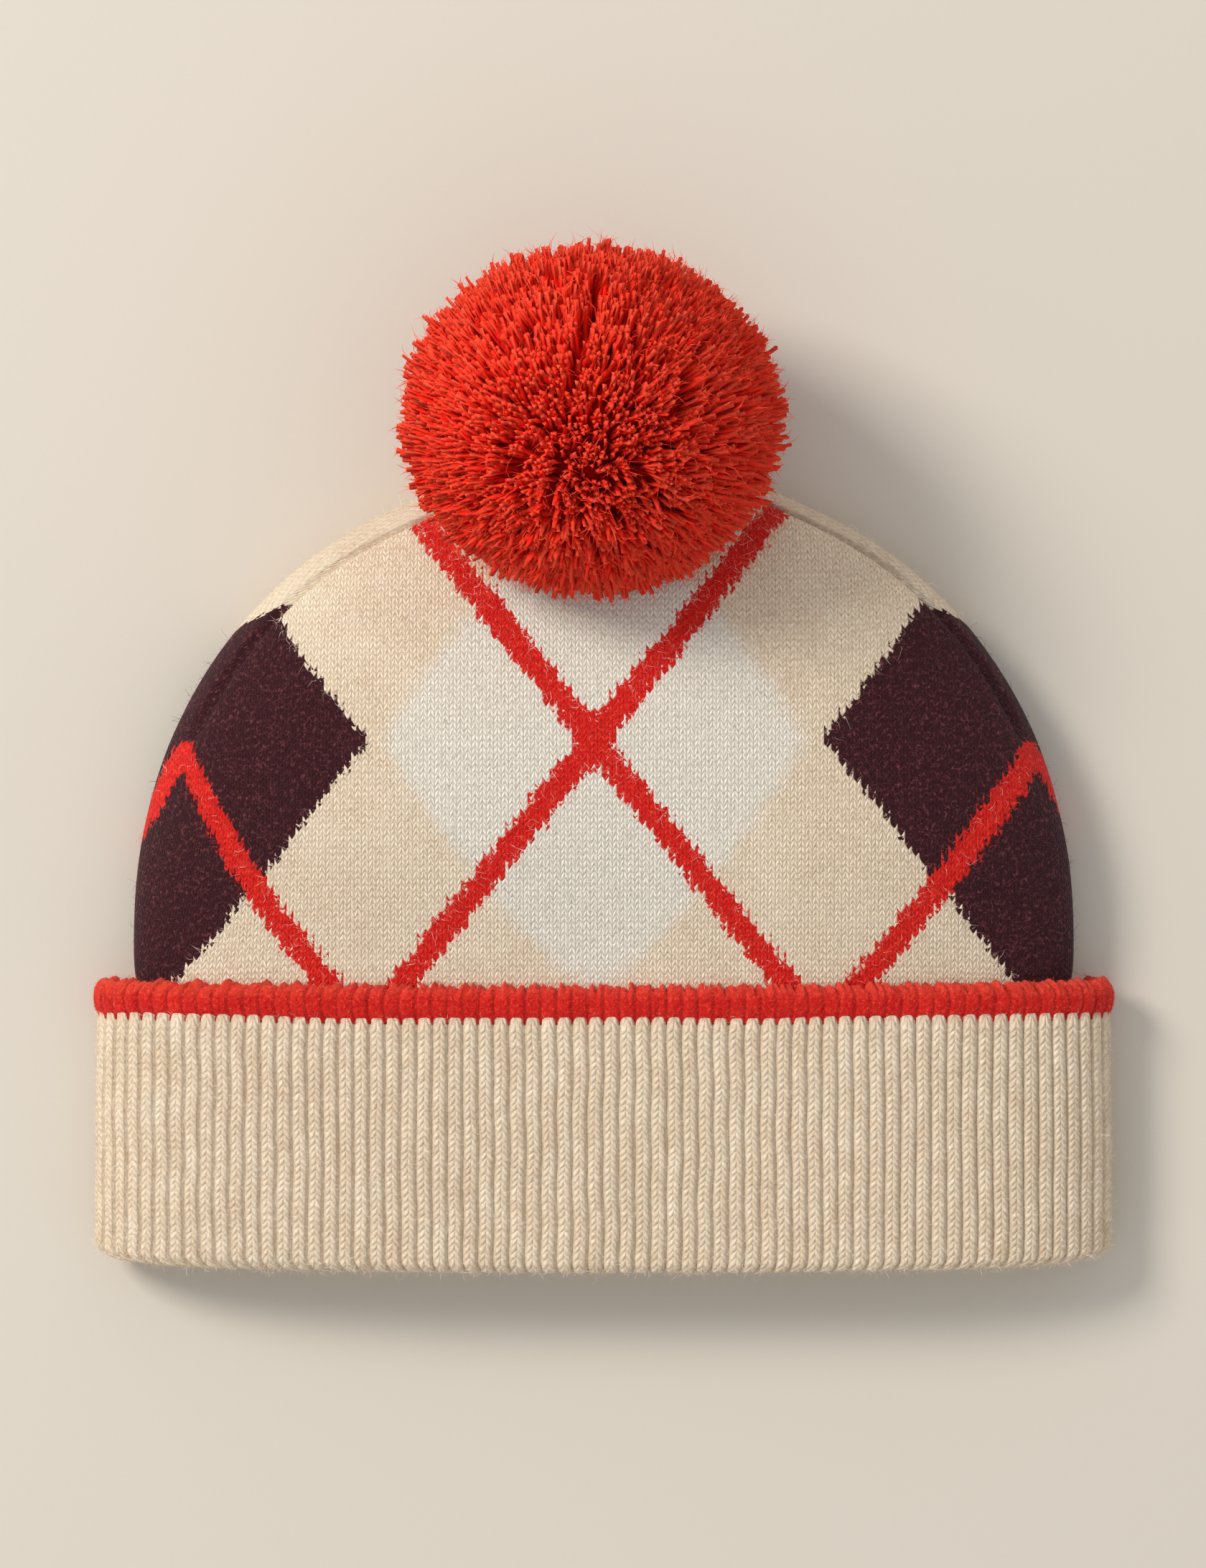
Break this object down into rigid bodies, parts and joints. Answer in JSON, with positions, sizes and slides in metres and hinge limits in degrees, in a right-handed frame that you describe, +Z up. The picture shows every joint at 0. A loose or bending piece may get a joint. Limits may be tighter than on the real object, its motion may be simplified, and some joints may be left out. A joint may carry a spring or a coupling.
{
  "type": "pompom beanie",
  "caption": "Knitted beanie lying flat, with an argyle crown, a turned-up ribbed cuff with a coloured edge and a yarn pompom.",
  "frame": {"origin": "centre of the lying hat's box on the surface it rests on", "axes": "+Z up from the surface, out of the hat's front; +Y from the mouth to the pompom; +X across, to the right as the front is seen from above"},
  "size_m": [0.2396, 0.243, 0.082],
  "materials": {
    "crown_knit": "fuzzy wool jersey with an argyle of cream, dark burgundy and red on oatmeal",
    "rib_knit": "heathered oatmeal wool in one-by-one rib",
    "tipping_knit": "red wool in one-by-one rib, brushed",
    "pompom_yarn": "cut yarn"
  },
  "bodies": {
    "root": {"crown": "crown_knit", "cuff": "rib_knit", "cuff_tipping": "tipping_knit", "pompom": "pompom_yarn", "pompom_tie": "pompom_yarn"}
  },
  "joints": []
}
